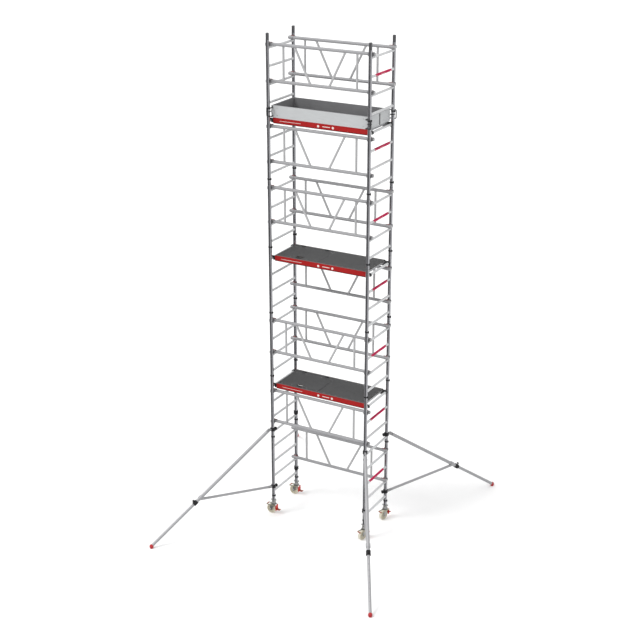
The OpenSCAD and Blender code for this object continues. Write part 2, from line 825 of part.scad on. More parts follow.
end_frames(1);  // end_frames_1
end_frames(2);  // end_frames_2
end_frames(3);  // end_frames_3
end_frames(4);  // end_frames_4
end_frames(5);  // end_frames_5
end_frames(6);  // end_frames_6
end_frames(7);  // end_frames_7
spigots();
spring_clips();
rung_labels();
guardrail_pair(0);  // guardrails_lower
guardrail_pair(1);  // guardrails_middle
guardrail_pair(2);  // guardrails_top
brace_rails();
rail_claws();
platform_frame(1);  // platform_frame_1
platform_frame(2);  // platform_frame_2
platform_frame(3);  // platform_frame_3
deck(1);  // deck_1
deck(2);  // deck_2
deck(3);  // deck_3
hatch(1);  // hatch_1
hatch(2);  // hatch_2
hatch(3);  // hatch_3
platform_hooks();
toe_boards();
toe_board_clips();
leg_nuts();
castor_leg(FL);  // castor_leg_fl
castor_leg(FR);  // castor_leg_fr
castor_leg(BL);  // castor_leg_bl
castor_leg(BR);  // castor_leg_br
castor_fork(FL);  // castor_fork_fl
castor_fork(FR);  // castor_fork_fr
castor_fork(BL);  // castor_fork_bl
castor_fork(BR);  // castor_fork_br
castor_wheel(FL);  // castor_wheel_fl
castor_wheel(FR);  // castor_wheel_fr
castor_wheel(BL);  // castor_wheel_bl
castor_wheel(BR);  // castor_wheel_br
castor_brake(FL);  // castor_brake_fl
castor_brake(FR);  // castor_brake_fr
castor_brake(BL);  // castor_brake_bl
castor_brake(BR);  // castor_brake_br
stabiliser_arm(FL);  // stabiliser_arm_fl
stabiliser_arm(FR);  // stabiliser_arm_fr
stabiliser_arm(BL);  // stabiliser_arm_bl
stabiliser_arm(BR);  // stabiliser_arm_br
stabiliser_clamps(FL);  // stabiliser_clamps_fl
stabiliser_clamps(FR);  // stabiliser_clamps_fr
stabiliser_clamps(BL);  // stabiliser_clamps_bl
stabiliser_clamps(BR);  // stabiliser_clamps_br
stabiliser_leg(FL);  // stabiliser_leg_fl
stabiliser_leg(FR);  // stabiliser_leg_fr
stabiliser_leg(BL);  // stabiliser_leg_bl
stabiliser_leg(BR);  // stabiliser_leg_br
stabiliser_foot(FL);  // stabiliser_foot_fl
stabiliser_foot(FR);  // stabiliser_foot_fr
stabiliser_foot(BL);  // stabiliser_foot_bl
stabiliser_foot(BR);  // stabiliser_foot_br
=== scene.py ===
import json
import math

import bmesh
import bpy
from mathutils import Matrix, Vector


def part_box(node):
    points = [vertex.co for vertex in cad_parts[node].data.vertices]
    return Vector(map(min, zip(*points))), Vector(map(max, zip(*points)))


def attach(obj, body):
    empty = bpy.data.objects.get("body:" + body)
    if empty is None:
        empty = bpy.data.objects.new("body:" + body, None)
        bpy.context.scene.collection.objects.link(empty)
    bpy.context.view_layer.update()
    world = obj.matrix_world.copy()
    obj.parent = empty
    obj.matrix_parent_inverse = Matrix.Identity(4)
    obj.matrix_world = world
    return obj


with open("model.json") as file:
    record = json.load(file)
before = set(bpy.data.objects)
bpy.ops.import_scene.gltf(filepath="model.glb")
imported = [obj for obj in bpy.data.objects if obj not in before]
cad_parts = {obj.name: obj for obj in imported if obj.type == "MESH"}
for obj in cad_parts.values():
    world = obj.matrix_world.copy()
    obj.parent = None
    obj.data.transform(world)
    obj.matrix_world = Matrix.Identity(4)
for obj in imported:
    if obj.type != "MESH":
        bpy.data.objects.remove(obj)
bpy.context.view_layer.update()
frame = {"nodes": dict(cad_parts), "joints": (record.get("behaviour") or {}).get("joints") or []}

# ---- Sizes repeated from the CAD, and places read from the frame ----

MM = 0.001
POST_R = 25.4 * MM
RUNG_R = 17.5 * MM
RAIL_R = 22.5 * MM
STRUT_R = 16 * MM
RUNG_COUNT = 28
FRAME_RUNGS = 4
FIRST_RUNG = 145 * MM
RAIL_INSET = 52 * MM
RAIL_RISE = 45 * MM
RAIL_DROP = 82 * MM
UPRIGHT_AT = 563 * MM
BRACE_FOOT = 141 * MM
BRACE_HEAD = 391 * MM
CLAW_H = 40 * MM
BEAM_H = 81 * MM
BEAM_T = 25 * MM
DECK_RISE = 43 * MM
SPIGOT_BORE_R = 19.6 * MM
SLEEVE_R = RUNG_R + 0.7 * MM
CLIP_RISE = 70 * MM
CLAMP_HEIGHTS = (1430 * MM, 468 * MM)
PIVOT_X = 65 * MM
COLLAR_REACH = 1320 * MM
LABEL_SHIFT = 18 * MM

CORNERS = {"fl": (-1, -1), "fr": (1, -1), "bl": (-1, 1), "br": (1, 1)}
LEVELS = range(1, 8)
PLATFORMS = range(1, 4)

first_lo, first_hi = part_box("end_frames_1")
post_x = first_hi.x - POST_R
post_y = first_hi.y - POST_R
frame_h = first_hi.z - first_lo.z
pitch = frame_h / FRAME_RUNGS
rail_y = post_y - RAIL_INSET
joint = {j["name"]: j for j in frame["joints"]}


def rung_z(number):
    return first_lo.z + FIRST_RUNG + (number - 1) * pitch


def platform_z(level):
    """Height of the rung that carries a platform."""
    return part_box(f"deck_{level}")[1].z - DECK_RISE


def rail_units():
    """(side of the bay, height of the top rail) of each guardrail unit."""
    units = []
    for node in ("guardrails_lower", "guardrails_middle", "guardrails_top"):
        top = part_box(node)[1].z - RAIL_R
        units += [(-1, top), (1, top)]
    units += [(1, rung_z(FRAME_RUNGS) + RAIL_RISE)]
    return units + [(side, platform_z(level) - RAIL_DROP)
                    for side, level in zip((-1, 1, -1), PLATFORMS)]


UNITS = rail_units()
RAIL_SPAN = 2 * pitch

# ---- Materials ----


def srgb(red, green, blue):
    """Screen colour 0-255 as linear RGBA."""
    def linear(value):
        value /= 255
        return value / 12.92 if value < 0.04045 else ((value + 0.055) / 1.055) ** 2.4
    return (linear(red), linear(green), linear(blue), 1.0)


def grey(level, blue=0):
    """Screen grey 0-255, with a little more blue."""
    return srgb(level, level, level + blue)


def shade(colour, factor):
    return tuple(min(1.0, c * factor) for c in colour[:3]) + (1.0,)


def add(tree, kind, inputs=None, **settings):
    """A shader node with its settings and inputs. An input is a value or another node's socket."""
    node = tree.nodes.new("ShaderNode" + kind)
    for key, value in settings.items():
        setattr(node, key, value)
    for key, value in (inputs or {}).items():
        if isinstance(value, bpy.types.NodeSocket):
            tree.links.new(value, node.inputs[key])
        else:
            node.inputs[key].default_value = value
    return node


def calc(tree, operation, a, b=0.0):
    return add(tree, "Math", {0: a, 1: b}, operation=operation).outputs[0]


def axes(tree, vector):
    """X, Y and Z sockets of a vector."""
    return add(tree, "SeparateXYZ", {0: vector}).outputs


def wave(tree, value, step):
    """Sine that repeats each step of a length."""
    return calc(tree, "SINE", calc(tree, "MULTIPLY", value, 2 * math.pi / step))


def ramp(tree, factor, stops):
    node = add(tree, "ValToRGB", {"Fac": factor})
    elements = node.color_ramp.elements
    while len(elements) < len(stops):
        elements.new(0.5)
    for element, (place, colour) in zip(elements, stops):
        element.position = place
        element.color = colour
    return node.outputs["Color"]


def remap(tree, value, low, high, from_low=0.3, from_high=0.7):
    return add(tree, "MapRange", {"Value": value, "From Min": from_low, "From Max": from_high,
                                  "To Min": low, "To Max": high}).outputs["Result"]


def blend(tree, factor, a, b):
    node = add(tree, "Mix", {"Factor": factor}, data_type="RGBA")
    for place, value in ((6, a), (7, b)):
        if isinstance(value, bpy.types.NodeSocket):
            tree.links.new(value, node.inputs[place])
        else:
            node.inputs[place].default_value = value
    return node.outputs[2]


FINISHES = {}


def surface(name, colour, rough, metal=0.0, shift=0.12, grain=90.0, patch=5.0,
            stretch=(1, 1, 1), depth=0.15 * MM, scuff=0.0, scuff_colour=None, coat=0.0,
            specular=0.5, pattern=None):
    """A material whose colour, roughness and relief vary: fine grain, broad patches and scuffs.
    pattern(tree, place, colour) returns (colour, height) sockets of a moulded or printed pattern.
    It is kept in FINISHES under its name."""
    material = bpy.data.materials.new(name)
    material.use_nodes = True
    tree = material.node_tree
    tree.nodes.clear()
    place = add(tree, "TexCoord").outputs["Object"]
    laid = add(tree, "Mapping", {"Vector": place, "Scale": stretch}).outputs[0]
    fine = add(tree, "TexNoise", {"Vector": laid, "Scale": grain, "Detail": 5.0}).outputs["Fac"]
    broad = add(tree, "TexNoise", {"Vector": place, "Scale": patch, "Detail": 3.0}).outputs["Fac"]
    mixed = calc(tree, "MULTIPLY", calc(tree, "ADD", fine, broad), 0.5)
    tone = ramp(tree, mixed, [(0.35, shade(colour, 1 - shift)), (0.5, colour),
                              (0.65, shade(colour, 1 + shift))])
    if scuff:
        marks = add(tree, "TexNoise", {"Vector": laid, "Scale": grain / 3, "Detail": 8.0,
                                       "Roughness": 0.7}).outputs["Fac"]
        worn = remap(tree, marks, 0.0, scuff, 0.58, 0.72)
        tone = blend(tree, worn, tone, scuff_colour or shade(colour, 1.6))
    height = fine
    if pattern:
        tone, moulded = pattern(tree, place, tone)
        height = calc(tree, "ADD", calc(tree, "MULTIPLY", fine, 0.3), moulded)
    gloss = remap(tree, mixed, max(0.03, rough - 0.08), min(1.0, rough + 0.1))
    bump = add(tree, "Bump", {"Height": height, "Strength": 0.6, "Distance": depth})
    shader = add(tree, "BsdfPrincipled", {
        "Base Color": tone, "Roughness": gloss, "Metallic": metal, "Normal": bump.outputs[0],
        "Coat Weight": coat, "Coat Roughness": 0.25, "Specular IOR Level": specular})
    output = add(tree, "OutputMaterial")
    tree.links.new(shader.outputs[0], output.inputs["Surface"])
    FINISHES[name] = material
    return material


def ribs_round(u_axis, v_axis, u_centre, v_pitch, v_start, count, depth=1.0):
    """Pattern of lengthwise ribs round tubes: the tube's section lies in the u-v plane."""
    def pattern(tree, place, tone):
        parts = axes(tree, place)
        u = calc(tree, "SUBTRACT", calc(tree, "ABSOLUTE", parts[u_axis]), u_centre)
        if v_pitch:
            turns = calc(tree, "DIVIDE", calc(tree, "SUBTRACT", parts[v_axis], v_start), v_pitch)
            v = calc(tree, "MULTIPLY", calc(tree, "SUBTRACT", turns, calc(tree, "ROUND", turns)), v_pitch)
        else:
            v = calc(tree, "SUBTRACT", calc(tree, "ABSOLUTE", parts[v_axis]), v_start)
        angle = calc(tree, "ARCTAN2", v, u)
        ribs = calc(tree, "SINE", calc(tree, "MULTIPLY", angle, float(count)))
        return tone, calc(tree, "MULTIPLY", ribs, depth)
    return pattern


def tread_plate(tree, place, tone):
    """Pattern of a coated plywood panel: fine mesh print on top, layered plies on the edges."""
    x, y, z = axes(tree, place)
    mesh_step, ply = 7 * MM, 2.8 * MM
    mesh = calc(tree, "MULTIPLY", *[wave(tree, calc(tree, op, x, y), mesh_step)
                                    for op in ("ADD", "SUBTRACT")])
    plies = wave(tree, z, ply)
    wood = ramp(tree, remap(tree, plies, 0.0, 1.0, -1.0, 1.0),
                [(0.3, srgb(46, 42, 38)), (0.7, srgb(70, 62, 54))])
    facing = axes(tree, add(tree, "TexCoord").outputs["Normal"])[2]
    flat = calc(tree, "GREATER_THAN", calc(tree, "ABSOLUTE", facing), 0.5)
    print_tone = blend(tree, remap(tree, mesh, 0.0, 0.35, -1.0, 1.0), tone, grey(56))
    return blend(tree, flat, wood, print_tone), calc(tree, "MULTIPLY", mesh, 0.8)


def rings_up(step):
    """Pattern of rings stacked along Z, such as a thread."""
    def pattern(tree, place, tone):
        return tone, wave(tree, axes(tree, place)[2], step)
    return pattern


def extruded(step):
    """Pattern of fine lines left along a profile by its die, stacked in height."""
    def pattern(tree, place, tone):
        height = axes(tree, place)[2]
        lines = add(tree, "TexNoise", {"Vector": add(tree, "CombineXYZ", {2: height}).outputs[0],
                                       "Scale": 1 / step, "Detail": 4.0}).outputs["Fac"]
        return tone, lines
    return pattern


surface("post_grey", grey(176, 3), 0.24, 1.0, 0.08, 160, 4,
        stretch=(1, 1, 0.08), scuff=0.2, scuff_colour=grey(140, 2),
        depth=0.15 * MM,
        pattern=ribs_round(0, 1, post_x, 0, post_y, 24))
surface("rung_tube", srgb(200, 201, 202), 0.42, 0.25, 0.08, 160, 6,
        stretch=(1, 0.1, 1), scuff=0.2, scuff_colour=grey(150),
        depth=0.3 * MM, specular=0.25,
        pattern=ribs_round(0, 2, post_x, pitch, rung_z(1), 18))
surface("rail_tube", grey(152, 2), 0.5, 0.12, 0.07, 180, 4,
        stretch=(0.1, 1, 1), scuff=0.15, scuff_colour=grey(130, 2),
        specular=0.12)
surface("upright_tube", grey(168, 1), 0.55, 0.0, 0.06, 180, 4,
        stretch=(1, 1, 0.1), scuff=0.15, scuff_colour=grey(146, 2),
        specular=0.08)
surface("spigot_tube", grey(104, 2), 0.36, 0.8, 0.08, 160, 8)
surface("stay_tube", grey(160, 2), 0.45, 0.25, 0.07, 150, 3, scuff=0.15,
        scuff_colour=grey(130, 2), specular=0.15)
surface("weld", grey(160, 2), 0.45, 0.8, 0.2, 400, 30, depth=0.5 * MM)
surface("spring_wire", grey(52, 2), 0.35, 0.8, 0.15, 300, 12)
surface("label_red", srgb(176, 10, 70), 0.5, 0.0, 0.08, 60, 8, specular=0.15)
surface("mark_white", srgb(216, 208, 203), 0.5, 0.0, 0.05, 80, 10)
surface("claw_black", grey(34, 2), 0.48, 0.0, 0.25, 500, 12,
        depth=0.2 * MM, scuff=0.2, scuff_colour=grey(90, 2), specular=0.2)
surface("claw_grip", grey(84, 2), 0.5, 0.1, 0.2, 400, 12,
        depth=0.2 * MM, scuff=0.2, scuff_colour=grey(120, 2))
surface("claw_cast", grey(148, 2), 0.5, 0.15, 0.12, 300, 12,
        depth=0.3 * MM, scuff=0.2, scuff_colour=grey(140, 2),
        specular=0.2)
surface("latch_red", srgb(118, 22, 26), 0.42, 0.0, 0.12, 300, 12)
surface("beam_top", srgb(84, 80, 80), 0.5, 0.3, 0.12, 90, 5)
surface("beam_red", srgb(160, 18, 17), 0.4, 0.1, 0.07, 60, 3,
        stretch=(0.2, 1, 1), scuff=0.15, scuff_colour=srgb(150, 76, 70),
        coat=0.1, specular=0.3, depth=0.2 * MM, pattern=extruded(3 * MM))
surface("beam_shadow", srgb(84, 22, 22), 0.5, 0.1, 0.15, 60, 4)
surface("cross_tube", srgb(190, 191, 193), 0.4, 0.7, 0.1, 120, 4, stretch=(1, 0.1, 1))
surface("deck_ply", grey(72, 1), 0.65, 0.0, 0.10, 50, 3, depth=0.6 * MM,
        scuff=0.18, scuff_colour=srgb(110, 108, 106), specular=0.25,
        pattern=tread_plate)
surface("hook_steel", grey(56, 2), 0.42, 0.7, 0.15, 200, 10, scuff=0.25,
        scuff_colour=grey(130, 2))
surface("toe_board", srgb(176, 178, 179), 0.5, 0.0, 0.04, 30, 3,
        stretch=(0.3, 0.3, 2), scuff=0.12, scuff_colour=srgb(150, 152, 150))
surface("toe_board_inner", grey(128, 2), 0.55, 0.0, 0.07, 30, 3,
        stretch=(0.3, 0.3, 2))
surface("strap_rubber", grey(44, 2), 0.6, 0.0, 0.2, 300, 10)
surface("zinc", srgb(168, 168, 166), 0.33, 0.85, 0.14, 120, 14, scuff=0.2,
        scuff_colour=srgb(120, 118, 110))
surface("spindle", grey(160), 0.3, 0.85, 0.14, 120, 14,
        depth=1.2 * MM, pattern=rings_up(8 * MM))
surface("tyre_cream", srgb(200, 195, 178), 0.5, 0.0, 0.07, 120, 10,
        scuff=0.3, scuff_colour=srgb(160, 145, 120))
surface("tyre_edge", srgb(178, 170, 150), 0.55, 0.0, 0.1, 120, 10)
surface("brake_zinc", srgb(176, 172, 150), 0.4, 0.6, 0.12, 140, 10, scuff=0.25,
        scuff_colour=srgb(120, 112, 92))
surface("brake_red", srgb(196, 40, 30), 0.4, 0.2, 0.12, 120, 10, scuff=0.3,
        scuff_colour=srgb(150, 96, 80))
surface("pedal_brown", srgb(150, 82, 60), 0.6, 0.0, 0.15, 200, 10)
surface("foot_rubber", srgb(168, 30, 36), 0.55, 0.0, 0.15, 200, 14,
        scuff=0.3, scuff_colour=srgb(110, 60, 58))


def dress(node, *finishes, choose=None):
    """Gives a CAD node its materials. choose(centre, normal) returns a face's place in finishes."""
    mesh = frame["nodes"][node].data
    mesh.materials.clear()
    for finish in finishes:
        mesh.materials.append(FINISHES[finish])
    places = [choose(p.center, p.normal) if choose else 0 for p in mesh.polygons]
    mesh.polygons.foreach_set("material_index", places)
    mesh.update()


def post_or_rung(centre, _normal):
    reach = math.hypot(abs(centre.x) - post_x, abs(centre.y) - post_y)
    return 0 if reach < POST_R + MM else 1


def rail_or_upright(centre, _normal):
    heights = [z for _, top in UNITS for z in (top, top - RAIL_SPAN)]
    return 0 if any(abs(centre.z - z) < RAIL_R + MM for z in heights) else 1


def claw_or_collar(centre, _normal):
    reach = math.hypot(abs(centre.x) - post_x, abs(centre.y) - post_y)
    return 0 if reach < 36 * MM else 1


def printed_or_clear(centre, normal):
    """The left frames' sleeves are clear on their bay side and on top."""
    return 1 if centre.x < 0 and normal.x > -0.4 else 0


def platform_part(level):
    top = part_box(f"deck_{level}")[1].z
    beam_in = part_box(f"platform_frame_{level}")[1].y - BEAM_T
    def choose(centre, normal):
        if abs(centre.y) > beam_in - MM / 2:
            outer = centre.y * normal.y > 0 and abs(normal.y) > 0.5
            return 0 if outer else 3
        return 2 if centre.z > top - MM else 1
    return choose


def hatch_part(level):
    """Hinge leaves stand above the trapdoor's boards."""
    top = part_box(f"deck_{level}")[1].z
    return lambda centre, _normal: 1 if centre.z > top + MM / 2 else 0


def strap_or_plate(centre, _normal):
    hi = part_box("toe_boards")[1]
    return 1 if abs(centre.x) < hi.x + 4 * MM and abs(centre.y) < hi.y + 4 * MM else 0


def castor_place(corner):
    """Post axis, direction the pedal points and trail of a castor."""
    sx, sy = CORNERS[corner]
    post = Vector((sx * post_x, sy * post_y, 0))
    axle = Vector(joint[f"wheel_spin_{corner}"]["pos_m"])
    behind = Vector((axle.x, axle.y, 0)) - post
    return post, -behind.normalized(), behind.length


def brake_part(corner):
    post, ahead, _ = castor_place(corner)
    return lambda centre, _normal: 0 if (centre - post).dot(ahead) > 50 * MM else 1


def clamp_part(corner):
    """Black rings, knobs and collar; cast cheeks from the rings to the pivots; tubular sleeve."""
    sx, sy = CORNERS[corner]
    post = Vector((sx * post_x, sy * post_y))
    cheek, sleeve, collar = 36 * MM, 300 * MM, COLLAR_REACH - 45 * MM
    outwards = -Vector(joint[f"leg_retract_{corner}"]["axis"])
    def choose(centre, _normal):
        reach = (centre.xy - post).dot(outwards.xy.normalized())
        if reach < cheek or reach > collar:
            return 0
        return 2 if reach < sleeve else 1
    return choose


def toe_board_side(centre, normal):
    outwards = centre.x * normal.x if abs(normal.x) > 0.5 else centre.y * normal.y
    on_edge = abs(normal.z) > 0.5
    return 0 if outwards > 0.2 and not on_edge else 1


def leg_part(centre, _normal):
    return 1 if centre.z > first_lo.z - 20 * MM else 0


for level in LEVELS:
    dress(f"end_frames_{level}", "post_grey", "rung_tube", choose=post_or_rung)
for node, finish in (("spigots", "spigot_tube"), ("spring_clips", "spring_wire"),
                     ("platform_hooks", "hook_steel"), ("leg_nuts", "zinc")):
    dress(node, finish)
dress("rung_labels", "label_red", "rung_tube", choose=printed_or_clear)
for node in ("guardrails_lower", "guardrails_middle", "guardrails_top", "brace_rails"):
    dress(node, "rail_tube", "upright_tube", choose=rail_or_upright)
dress("rail_claws", "claw_grip", "claw_cast", choose=claw_or_collar)
dress("toe_board_clips", "strap_rubber", "toe_board", choose=strap_or_plate)
for level in PLATFORMS:
    dress(f"platform_frame_{level}", "beam_red", "cross_tube", "hook_steel", "beam_top",
          choose=platform_part(level))
    dress(f"deck_{level}", "deck_ply")
    dress(f"hatch_{level}", "deck_ply", "hook_steel", choose=hatch_part(level))
dress("toe_boards", "toe_board", "toe_board_inner", choose=toe_board_side)
for corner in CORNERS:
    dress(f"castor_leg_{corner}", "zinc", "spindle", choose=leg_part)
    dress(f"castor_fork_{corner}", "zinc")
    dress(f"castor_wheel_{corner}", "tyre_cream")
    dress(f"castor_brake_{corner}", "brake_red", "brake_zinc", choose=brake_part(corner))
    dress(f"stabiliser_arm_{corner}", "stay_tube")
    dress(f"stabiliser_leg_{corner}", "stay_tube")
    dress(f"stabiliser_clamps_{corner}", "claw_black", "stay_tube", "claw_cast",
          choose=clamp_part(corner))
    dress(f"stabiliser_foot_{corner}", "foot_rubber")

# ---- Mesh tools ----


def at(x, y, z):
    return Matrix.Translation((x, y, z))


def turn(degrees, axis):
    return Matrix.Rotation(math.radians(degrees), 4, axis)


def mirrored(sx, sy=1):
    """Mirror in X, in Y or in both, for signs of -1."""
    return Matrix.Diagonal((sx, sy, 1, 1))


def as_mesh(bm):
    """A template mesh to stamp, with its normals outwards."""
    bmesh.ops.recalc_face_normals(bm, faces=bm.faces)
    mesh = bpy.data.meshes.new("template")
    bm.to_mesh(mesh)
    bm.free()
    return mesh


def lathe(profile, steps=24):
    """Turns (radius, height) points about Z. A radius of 0 closes an end."""
    bm = bmesh.new()
    rings = []
    for radius, height in profile:
        if radius == 0:
            rings.append([bm.verts.new((0, 0, height))])
        else:
            rings.append([bm.verts.new((radius * math.cos(2 * math.pi * i / steps),
                                        radius * math.sin(2 * math.pi * i / steps), height))
                          for i in range(steps)])
    closed = profile[0] != profile[-1] and profile[0][0] > 0 and profile[-1][0] > 0
    pairs = list(zip(rings, rings[1:])) + ([(rings[-1], rings[0])] if closed else [])
    for lower, upper in pairs:
        for i in range(steps):
            j = (i + 1) % steps
            corners = [lower[i % len(lower)], lower[j % len(lower)],
                       upper[j % len(upper)], upper[i % len(upper)]]
            corners = list(dict.fromkeys(corners))
            if len(corners) > 2:
                bm.faces.new(corners)
    return as_mesh(bm)


def block(lo, hi, edge=0.8 * MM, segments=2):
    """Box with rounded edges between two corners."""
    bm = bmesh.new()
    bmesh.ops.create_cube(bm, size=1)
    for v in bm.verts:
        for axis in range(3):
            v.co[axis] = hi[axis] if v.co[axis] > 0 else lo[axis]
    bmesh.ops.bevel(bm, geom=list(bm.edges), offset=edge, segments=segments, profile=0.5,
                    affect="EDGES")
    return as_mesh(bm)


def slab(outline, low, high, edge=0.5 * MM):
    """Flat shape with an outline in XY, from height low to high, its edges rounded."""
    bm = bmesh.new()
    base = bm.faces.new([bm.verts.new((x, y, low)) for x, y in outline])
    grown = bmesh.ops.extrude_face_region(bm, geom=[base])
    for item in grown["geom"]:
        if isinstance(item, bmesh.types.BMVert):
            item.co.z = high
    rims = [e for e in bm.edges if abs(e.verts[0].co.z - e.verts[1].co.z) < edge / 10]
    bmesh.ops.bevel(bm, geom=rims, offset=edge, segments=2, profile=0.5, affect="EDGES")
    return as_mesh(bm)


def round_rect(width, height, radius, steps=5):
    """Outline of a rectangle with round corners, centred."""
    points = []
    for i, (sx, sy) in enumerate(((1, 1), (-1, 1), (-1, -1), (1, -1))):
        for k in range(steps + 1):
            angle = math.pi / 2 * (i + k / steps)
            points.append((sx * (width / 2 - radius) + radius * math.cos(angle),
                           sy * (height / 2 - radius) + radius * math.sin(angle)))
    return points


def frame_ring(outer, inner, low, high):
    """Flat ring between two outlines with the same number of points."""
    bm = bmesh.new()
    loops = [[bm.verts.new((x, y, z)) for x, y in outline]
             for outline, z in ((outer, low), (outer, high), (inner, high), (inner, low))]
    count = len(outer)
    for a, b in zip(loops, loops[1:] + loops[:1]):
        for i in range(count):
            bm.faces.new((a[i], a[(i + 1) % count], b[(i + 1) % count], b[i]))
    return as_mesh(bm)


def sweep(points, radius, sides=10, closed=False):
    """Round bar along a path."""
    points = [Vector(p) for p in points]
    count = len(points)
    middle = sum(points, Vector()) / count
    bm = bmesh.new()
    rings = []
    normal = None
    for i, point in enumerate(points):
        after = points[(i + 1) % count] if closed or i < count - 1 else point
        before = points[i - 1] if closed or i > 0 else point
        along = (after - before).normalized()
        if closed:
            normal = point - middle
        elif normal is None:
            normal = along.orthogonal()
        normal = (normal - normal.dot(along) * along).normalized()
        across = along.cross(normal)
        rings.append([bm.verts.new(point + radius * (math.cos(2 * math.pi * k / sides) * normal
                                                     + math.sin(2 * math.pi * k / sides) * across))
                      for k in range(sides)])
    pairs = list(zip(rings, rings[1:])) + ([(rings[-1], rings[0])] if closed else [])
    for a, b in pairs:
        for k in range(sides):
            bm.faces.new((a[k], a[(k + 1) % sides], b[(k + 1) % sides], b[k]))
    if not closed:
        bm.faces.new(rings[0])
        bm.faces.new(rings[-1])
    return as_mesh(bm)


def saddle_bead(branch, branch_r, main, main_r, bead=1.8 * MM, steps=24):
    """Weld bead where a round branch leaves a round main tube, their axes crossing at the origin."""
    branch, main = Vector(branch).normalized(), Vector(main).normalized()
    side = branch.cross(main).normalized()
    over = side.cross(branch)
    points = []
    for i in range(steps):
        angle = 2 * math.pi * i / steps
        off = (branch_r + bead / 3) * (math.cos(angle) * side + math.sin(angle) * over)
        d = branch - branch.dot(main) * main
        o = off - off.dot(main) * main
        half = d.dot(o) / d.dot(d)
        reach = -half + math.sqrt(half * half - (o.dot(o) - main_r ** 2) / d.dot(d))
        points.append(off + reach * branch)
    return sweep(points, bead, sides=6, closed=True)


HEX_HEAD = 0.85


def hex_head(radius, height):
    """Hexagon bolt head or nut standing on the origin, with a washer under it."""
    washer = 1.2 * MM
    return [lathe([(0, 0), (radius * 1.25, 0), (radius * 1.25, washer), (0, washer)], 20),
            lathe([(0, washer), (radius, washer), (radius, height * HEX_HEAD),
                   (radius * HEX_HEAD, height), (0, height)], 6)]


def screw_head(radius, height):
    """Low domed screw head with a dimple."""
    return lathe([(0, height * 0.4), (radius * 0.35, height * 0.4), (radius * 0.4, height),
                  (radius * 0.75, height * 0.85), (radius, height * 0.25), (radius, 0)], 14)


class Piece:
    """Collects stamped copies of templates into one named mesh."""

    def __init__(self, name, finish, body="root"):
        self.name, self.finish, self.body = name, finish, body
        self.bm = bmesh.new()

    def stamp(self, template, *places):
        for part in template if isinstance(template, list) else [template]:
            for place in places or (Matrix(),):
                copy = part.copy()
                copy.transform(place)
                if place.determinant() < 0:
                    copy.flip_normals()
                self.bm.from_mesh(copy)
                bpy.data.meshes.remove(copy)
        return self

    def done(self, sharp=38):
        mesh = bpy.data.meshes.new(self.name)
        self.bm.to_mesh(mesh)
        self.bm.free()
        mesh.shade_smooth()
        mesh.set_sharp_from_angle(angle=math.radians(sharp))
        mesh.materials.append(FINISHES[self.finish])
        obj = bpy.data.objects.new(self.name, mesh)
        bpy.context.scene.collection.objects.link(obj)
        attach(obj, self.body)
        return obj


def posts():
    return [at(sx * post_x, sy * post_y, 0) for sx, sy in CORNERS.values()]


# ---- End frames ----


def frame_details():
    bead = saddle_bead((0, 1, 0), RUNG_R, (0, 0, 1), POST_R)
    welds = Piece("rung_welds", "weld")
    for number in range(1, RUNG_COUNT + 1):
        for end in (-1, 1):
            for side in (-1, 1):
                welds.stamp(bead, at(end * post_x, side * post_y, rung_z(number))
                            @ (Matrix() if side < 0 else turn(180, "Z")))
    welds.done()

    ring = lathe([(POST_R - MM, -2 * MM), (POST_R + 0.5 * MM, -1.5 * MM),
                  (POST_R + 0.5 * MM, 1.5 * MM), (POST_R - MM, 2 * MM)], 32)
    rings = Piece("post_joint_seals", "claw_black")
    for level in LEVELS[1:]:
        rings.stamp(ring, *[p @ at(0, 0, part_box(f"end_frames_{level}")[0].z) for p in posts()])
    rings.done()

    band = lathe([(POST_R - MM, -11 * MM), (POST_R + 3 * MM, -9 * MM),
                  (POST_R + 3 * MM, 9 * MM), (POST_R - MM, 11 * MM)], 32)
    tab = block((POST_R + 2 * MM, -9 * MM, -15 * MM), (POST_R + 9 * MM, 9 * MM, 15 * MM), 2 * MM)
    bands = Piece("spring_clip_bands", "claw_black")
    for level in LEVELS:
        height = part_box(f"end_frames_{level}")[0].z + CLIP_RISE
        bands.stamp(band, *[p @ at(0, 0, height) for p in posts()])
        bands.stamp(tab, *[p @ at(0, 0, height) for p in posts()])
    bands.done()

    cap = lathe([(0, -4 * MM), (12 * MM, -3 * MM), (SPIGOT_BORE_R - MM, -2 * MM),
                 (SPIGOT_BORE_R - 0.1 * MM, -4 * MM), (SPIGOT_BORE_R - 0.1 * MM, -16 * MM),
                 (0, -16 * MM)], 28)
    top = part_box("spigots")[1].z
    Piece("spigot_caps", "claw_black").stamp(cap, *[p @ at(0, 0, top) for p in posts()]).done()

    marks = Piece("label_marks", "mark_white")
    film = 0.25 * MM
    for start, end, spread in ((-210, -195, 12), (-80, 50, 5), (185, 200, 12)):
        marks_patch = curved_patch(SLEEVE_R, film, start * MM, end * MM, spread)
        for level in LEVELS:
            height = rung_z((level - 1) * FRAME_RUNGS + 3)
            marks.stamp(marks_patch, at(post_x, LABEL_SHIFT, height),
                        turn(180, "Z") @ at(post_x, -LABEL_SHIFT, height))
    marks.done()


def curved_patch(radius, thick, start, end, spread, steps=6):
    """Thin label patch on a tube along Y, facing +X, spread degrees to each side."""
    bm = bmesh.new()
    rings = []
    for r in (radius - thick, radius + thick):
        for y in (start, end):
            rings.append([bm.verts.new((r * math.cos(a), y, r * math.sin(a)))
                          for a in (math.radians(spread * (2 * k / steps - 1))
                                    for k in range(steps + 1))])
    inner_a, inner_b, outer_a, outer_b = rings
    for k in range(steps):
        for a, b in ((inner_a, inner_b), (inner_b, outer_b), (outer_b, outer_a), (outer_a, inner_a)):
            bm.faces.new((a[k], a[k + 1], b[k + 1], b[k]))
    for k in (0, steps):
        bm.faces.new((inner_a[k], inner_b[k], outer_b[k], outer_a[k]))
    return as_mesh(bm)


# ---- Guardrails ----


